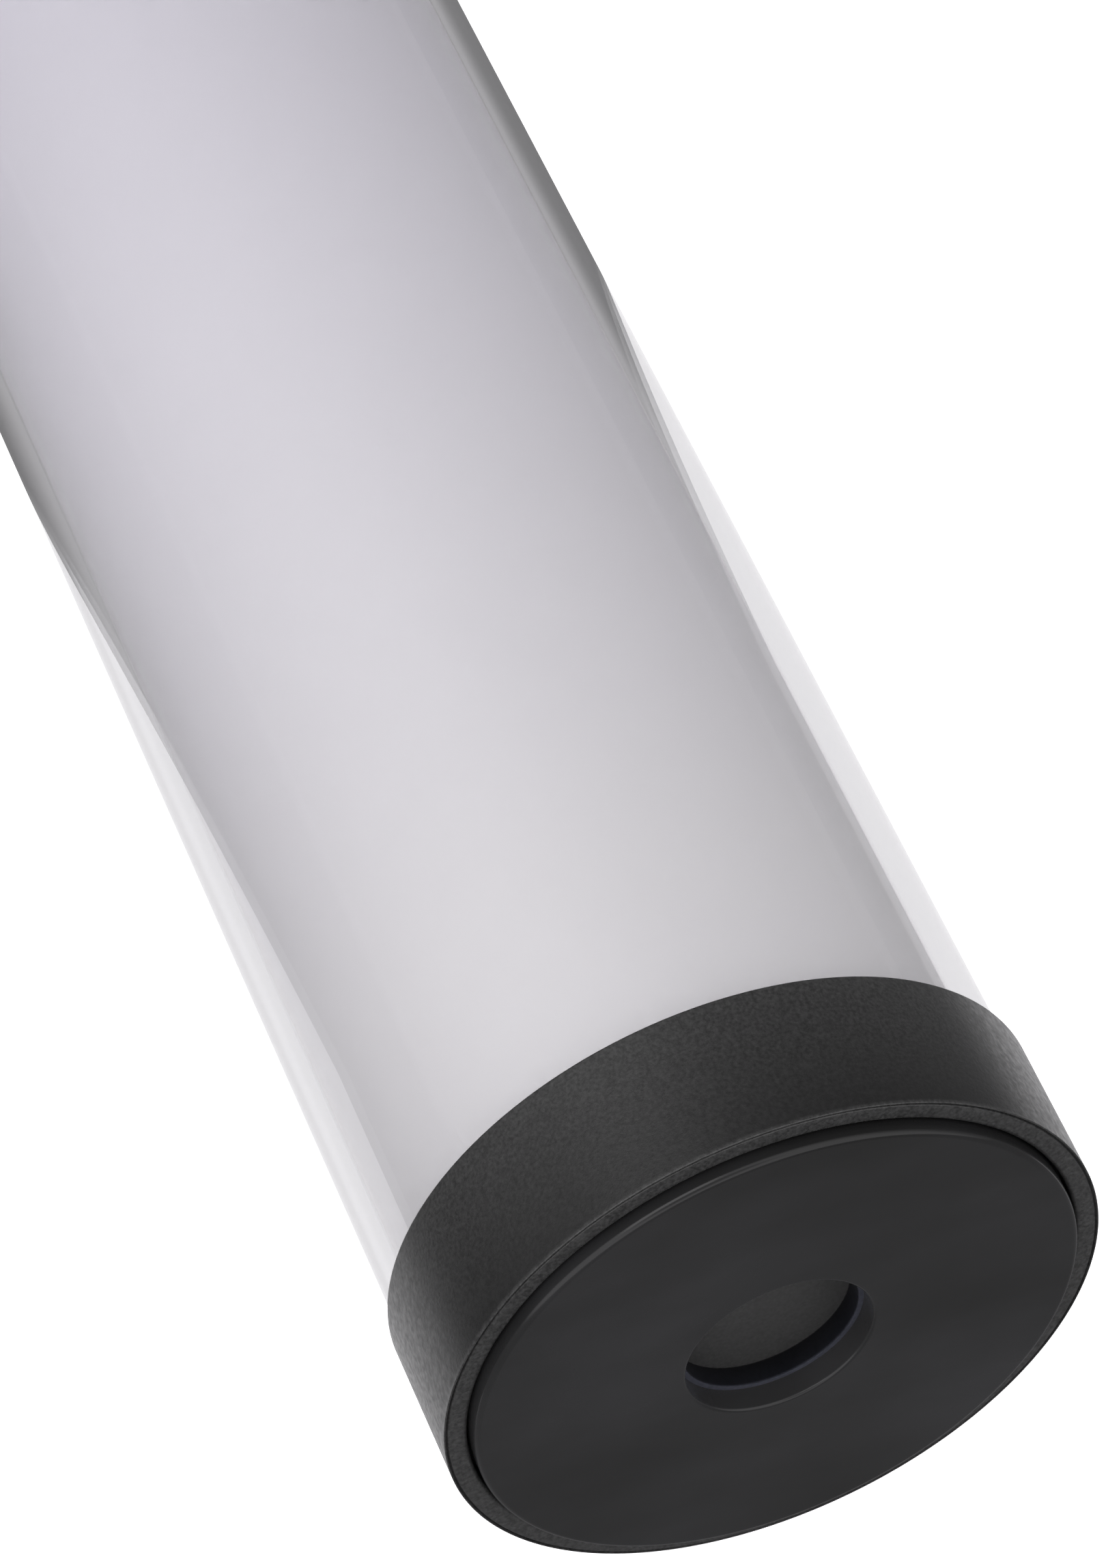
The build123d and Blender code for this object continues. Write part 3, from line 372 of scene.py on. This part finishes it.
NODE_MATERIALS = {
    "handle_shell": SATIN,
    "rear_plate": GLOSS,
    "control_panel": GLOSS,
    "end_plug": plug_black(),
    "rear_plug": MOULDED,
    "spine_bulkhead": MOULDED,
    "battery_carrier": MOULDED,
    "board_tray": MOULDED,
    "end_plug_seal": RUBBER,
    "rear_plug_seal": RUBBER,
    "tube_gasket": RUBBER,
    "port_cover": plain_plastic("cover_rubber", grey(0.014), grey(0.024), 0.55, specular=0.35),
    "end_plug_screws": STEEL,
    "spine_screws": STEEL,
    "rear_plug_screws": STEEL,
    "led_board_screws": STEEL,
    "main_board_screws": STEEL,
    "control_board_screws": STEEL,
    "port_cover_pin": STEEL,
    "dial_shaft": STEEL,
    "led_spine": drawn_metal("spine_aluminium", (0.78, 0.79, 0.81), 0.28),
    "display_glass": smoked_glass(),
    "display_module": plain_plastic("display_module", (0.01, 0.012, 0.02), (0.015, 0.018, 0.03), 0.2),
    "dial": drawn_metal("dial_aluminium", (0.09, 0.09, 0.095), 0.3, (1, 1, 0.05)),
    "encoder": drawn_metal("encoder_case", (0.62, 0.62, 0.6), 0.35),
    "board_inductors": plain_plastic("inductor_black", grey(0.03), grey(0.05), 0.5),
    "board_chips": plain_plastic("chip_black", grey(0.02), grey(0.03), 0.35),
    "board_capacitors": drawn_metal("capacitor_can", (0.6, 0.61, 0.63), 0.3),
    "board_connectors": plain_plastic("connector_white", grey(0.7), grey(0.78), 0.4),
    "usb_socket": drawn_metal("socket_steel", (0.66, 0.66, 0.67), 0.25),
    "battery_leads": plain_plastic("wire_red", (0.4, 0.01, 0.01), (0.5, 0.02, 0.015), 0.4),
    "led_leads": plain_plastic("wire_black", grey(0.015), grey(0.025), 0.4),
    "tripod_insert": drawn_metal("insert_brass", (0.72, 0.5, 0.2), 0.28, (1, 0.1, 0.1)),
}
SHARED = {
    ("led_board_1", "led_board_2"): plain_plastic("board_white", grey(0.72), grey(0.78), 0.35),
    ("led_packages_1", "led_packages_2"): plain_plastic(
        "led_phosphor", (0.7, 0.5, 0.1), (0.8, 0.62, 0.2), 0.3
    ),
    ("power_button", "mode_button"): plain_plastic("button_plastic", grey(0.05), grey(0.07), 0.42),
    ("power_switch", "mode_switch"): plain_plastic("switch_black", grey(0.02), grey(0.03), 0.4),
    ("control_board", "main_board"): circuit_board(),
    ("battery_cell_1", "battery_cell_2", "battery_cell_3"): plain_plastic(
        "cell_wrap", (0.02, 0.12, 0.24), (0.03, 0.16, 0.3), 0.3
    ),
    ("front_cell_link", "rear_cell_link"): drawn_metal("nickel_strip", (0.7, 0.68, 0.62), 0.3),
}
for nodes, material in SHARED.items():
    NODE_MATERIALS.update({node: material for node in nodes})
for node, material in NODE_MATERIALS.items():
    for material_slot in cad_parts[node].material_slots:
        material_slot.material = material


def add_piece(piece, material, node):
    """Dress a rebuilt piece and let it stand for its CAD node."""
    piece.data.materials.append(material)
    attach(piece, "light")
    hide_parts(node)


# ------------------------------------------------------------------ rebuilt pieces
# Collar: satin ring with a flat lip, a softened inner edge and a fine line inside its corner.
LIP_R = 23.95 * MM
LIP_T = 2.2 * MM
COLLAR_BORE_R = TUBE_R + 0.05 * MM
LINE_R = COLLAR_R - 0.1 * MM
LINE_W = 0.22 * MM
LINE_DEPTH = 0.25 * MM
collar = lathe(
    "end_collar",
    rounded_outline(
        [
            (ring_low.x, COLLAR_BORE_R, 0.1 * MM),
            (ring_low.x, COLLAR_R, 0.15 * MM),
            (LIP_X, COLLAR_R, 0.06 * MM),
            (LIP_X, LINE_R, 0.02 * MM),
            (LIP_X - LINE_DEPTH, LINE_R - LINE_W / 2, 0.04 * MM),
            (LIP_X, LINE_R - LINE_W, 0.06 * MM),
            (LIP_X, LIP_R, 0.35 * MM),
            (LIP_X - LIP_T, LIP_R, 0),
            (LIP_X - LIP_T, COLLAR_BORE_R, 0),
        ]
    ),
)
add_piece(collar, SATIN, "end_ring")

# End disc: rounded rim, slightly softened hole.
disc = lathe(
    "end_disc",
    rounded_outline(
        [
            (plate_low.x, RECESS_R, 0),
            (plate_low.x, PLATE_R, 0),
            (plate_high.x, PLATE_R, 0.45 * MM),
            (plate_high.x, RECESS_R, 0.25 * MM),
        ],
        steps=8,
    ),
)
add_piece(disc, GLOSS, "end_plate")

# Clear pipe with lightly broken edges.
TUBE_BORE = 23.0 * MM
pipe = lathe(
    "clear_pipe",
    rounded_outline(
        [
            (tube_low.x, TUBE_BORE, 0.2 * MM),
            (tube_low.x, TUBE_R, 0.3 * MM),
            (tube_high.x, TUBE_R, 0.3 * MM),
            (tube_high.x, TUBE_BORE, 0.2 * MM),
        ],
        steps=3,
    ),
)
add_piece(pipe, CLEAR, "outer_tube")

# Opal sheet bent over the LEDs.
SLEEVE_T = 0.9 * MM
edge_angle = math.asin((sleeve_low.z - AXIS_Z) / SLEEVE_R)
sleeve = lathe(
    "opal_diffuser",
    rounded_outline(
        [
            (sleeve_low.x, SLEEVE_R - SLEEVE_T, 0.1 * MM),
            (sleeve_low.x, SLEEVE_R, 0.1 * MM),
            (sleeve_high.x, SLEEVE_R, 0.1 * MM),
            (sleeve_high.x, SLEEVE_R - SLEEVE_T, 0.1 * MM),
        ],
        steps=2,
    ),
    segments=200,
    start=edge_angle,
    sweep=math.pi - 2 * edge_angle,
)
add_piece(sleeve, OPAL, "diffuser_sleeve")

# ------------------------------------------------------------------ camera
AZIMUTH = math.radians(69.146)
ELEVATION = math.radians(50.991)
LENS_MM, SENSOR_MM = 159.72, 36.0
# Where the lip's centre sits in the camera's view, in collar radii.
VIEW_RIGHT, VIEW_DOWN, VIEW_AWAY = 0.62901, 1.56162, 19.72035
to_camera = Vector(
    (
        math.sin(AZIMUTH) * math.cos(ELEVATION),
        -math.cos(AZIMUTH) * math.cos(ELEVATION),
        math.sin(ELEVATION),
    )
)
right = Vector((math.cos(AZIMUTH), math.sin(AZIMUTH), 0))
up = to_camera.cross(right)
camera_data = bpy.data.cameras.new("camera")
camera_data.lens = LENS_MM
camera_data.sensor_width = SENSOR_MM
camera_data.clip_start = 0.01
camera = bpy.data.objects.new("camera", camera_data)
from_lip = -VIEW_RIGHT * right + VIEW_DOWN * up + VIEW_AWAY * to_camera
camera.location = END_CENTRE + COLLAR_R * from_lip
camera.rotation_euler = to_camera.to_track_quat("Z", "Y").to_euler()
scene.collection.objects.link(camera)
scene.camera = camera

# ------------------------------------------------------------------ studio
# The camera sees a white floor and wall. What shines on the object is the studio round it:
# a darker table, white cards beside the plain end, a sky that is bright in front of that
# end, and one soft light.
scene.view_settings.view_transform = "Standard"


def stage_plane(name, height, corners):
    """Level sheet through (x, y) corners that is part of the studio."""
    bm = bmesh.new()
    bm.faces.new([bm.verts.new((x, y, height)) for x, y in corners])
    plane = finish_mesh(name, bm)
    return plane


def glow(name, tone, *stops):
    """Pale surface that glows by the (y, strength) stops across it, or evenly with one stop."""
    s = Surface(name, Roughness=0.9, Specular_IOR_Level=0.1)
    s.feed("Base Color", s.ramp(s.noise(3), (0.3, grey(tone)), (0.7, grey(tone + 0.01))))
    s.shader.inputs["Emission Color"].default_value = (0.99, 0.98, 1, 1)
    s.shader.inputs["Emission Strength"].default_value = stops[0][1]
    if len(stops) > 1:
        first, last = stops[0][0], stops[-1][0]
        across = s.between(s.position("Y"), 0.0, 1.0, first, last)
        shades = [((y - first) / (last - first), grey(strength)) for y, strength in stops]
        s.feed("Emission Strength", s.ramp(across, *shades))
    return s.material


def seen_by(plane, *rays):
    """Show a plane to some kinds of ray only, and let it throw no shadow."""
    plane.visible_shadow = False
    for kind in ("camera", "diffuse", "glossy", "transmission"):
        setattr(plane, "visible_" + kind, kind in rays)


# The table is one plane for each kind of ray: white to the camera, brighter to the milky
# sheet than to the black parts, and through the pipe with the tube's soft shadow painted into its
# glow.
FLOOR_Z, CARD_Z, TABLE_Z = -0.1 * MM, -0.2 * MM, -0.3 * MM
TABLE_CORNERS = [(-4, -4), (4, -4), (4, 4), (-4, 4)]
SHADOW = [(-0.036, 0.42), (-0.022, 0.15), (0.058, 0.18), (0.08, 0.42)]
TABLES = [
    ("floor", FLOOR_Z, glow("pale_floor", 0.9, (0, 0.85)), "camera"),
    ("table_light", TABLE_Z, glow("table_light", 0.04, (0, 0.6)), "diffuse"),
    ("table_shine", TABLE_Z, glow("table_shine", 0.04, (0, 0.2)), "glossy"),
    ("table_through", TABLE_Z, glow("table_through", 0.04, *SHADOW), "transmission"),
]
for name, height, material, ray in TABLES:
    table = stage_plane(name, height, TABLE_CORNERS)
    table.data.materials.append(material)
    seen_by(table, ray)

# White cards beside the plain end. What is seen through the pipe is softer than what shines
# on the black parts, with a bright stripe along the left card.
CARDS = {
    "left_card": [(0.168, -0.012), (0.292, -0.012), (0.292, -0.065), (0.234, -0.065)],
    "right_card": [(0.172, 0.012), (0.292, 0.012), (0.292, 0.12), (0.172, 0.12)],
}
STRIPE = [
    (-0.034, 0.56),
    (-0.031, 0.68),
    (-0.029, 0.68),
    (-0.027, 0.46),
    (-0.02, 0.46),
    (0.02, 0.57),
]
CARD_RAYS = {
    "soft": (glow("card_white", 0.1, *STRIPE), ("diffuse", "transmission")),
    "bright": (glow("card_bright", 0.1, (0, 1.02)), ("glossy",)),
}
for name, corners in CARDS.items():
    for kind, (material, rays) in CARD_RAYS.items():
        card = stage_plane(f"{name}_{kind}", CARD_Z, corners)
        card.data.materials.append(material)
        seen_by(card, *rays)

SKY_BRIGHT = 2.0              # in front of the plain end, on the control side
SKY_DIM = 0.4                 # over the far end
SKY_LEAN = Vector((0.85, -0.3, 0.3)).normalized()
SKY_EDGES = (-0.35, 0.55)     # cosines to SKY_LEAN between which the sky turns bright
DARK_AROUND_LENS = 0.3        # how much of the sky is left round the lens
LENS_EDGES = (0.88, 0.98)     # cosines to the lens between which it turns dark

world = bpy.data.worlds.new("studio")
scene.world = world
world.use_nodes = True
sky = world.node_tree
background = sky.nodes["Background"]
background.inputs["Color"].default_value = (1.0, 0.99, 1.0, 1)


def sky_lobe(direction, start, stop, low, high):
    """Smooth step of brightness towards a direction, by the cosine to it."""
    dot = sky.nodes.new("ShaderNodeVectorMath")
    dot.operation = "DOT_PRODUCT"
    dot.inputs[1].default_value = direction
    sky.links.new(sky_coordinates.outputs["Generated"], dot.inputs[0])
    step = sky.nodes.new("ShaderNodeMapRange")
    step.interpolation_type = "SMOOTHSTEP"
    limits = {"From Min": start, "From Max": stop, "To Min": low, "To Max": high}
    for socket, value in limits.items():
        step.inputs[socket].default_value = value
    sky.links.new(dot.outputs["Value"], step.inputs["Value"])
    return step.outputs["Result"]


sky_coordinates = sky.nodes.new("ShaderNodeTexCoord")
level = sky.nodes.new("ShaderNodeMath")
level.operation = "MULTIPLY"
sky.links.new(sky_lobe(SKY_LEAN, *SKY_EDGES, SKY_DIM, SKY_BRIGHT), level.inputs[0])
sky.links.new(sky_lobe(to_camera, *LENS_EDGES, 1.0, DARK_AROUND_LENS), level.inputs[1])
# Seen directly, the studio's far wall is as white as the table.
seen = sky.nodes.new("ShaderNodeLightPath")
wall = sky.nodes.new("ShaderNodeMix")
wall.inputs["B"].default_value = 1.0
sky.links.new(seen.outputs["Is Camera Ray"], wall.inputs["Factor"])
sky.links.new(level.outputs["Value"], wall.inputs["A"])
sky.links.new(wall.outputs["Result"], background.inputs["Strength"])


def softbox(name, position, target, size, power):
    """Rectangular soft light aimed at a point."""
    light = bpy.data.lights.new(name, "AREA")
    light.shape = "RECTANGLE"
    light.size, light.size_y = size
    light.energy = power
    lamp = bpy.data.objects.new(name, light)
    lamp.location = position
    aim = Vector(target) - Vector(position)
    lamp.rotation_euler = aim.to_track_quat("-Z", "Y").to_euler()
    scene.collection.objects.link(lamp)


softbox("key", (0.25, -0.45, 0.9), END_CENTRE, (0.8, 0.6), 3.0)
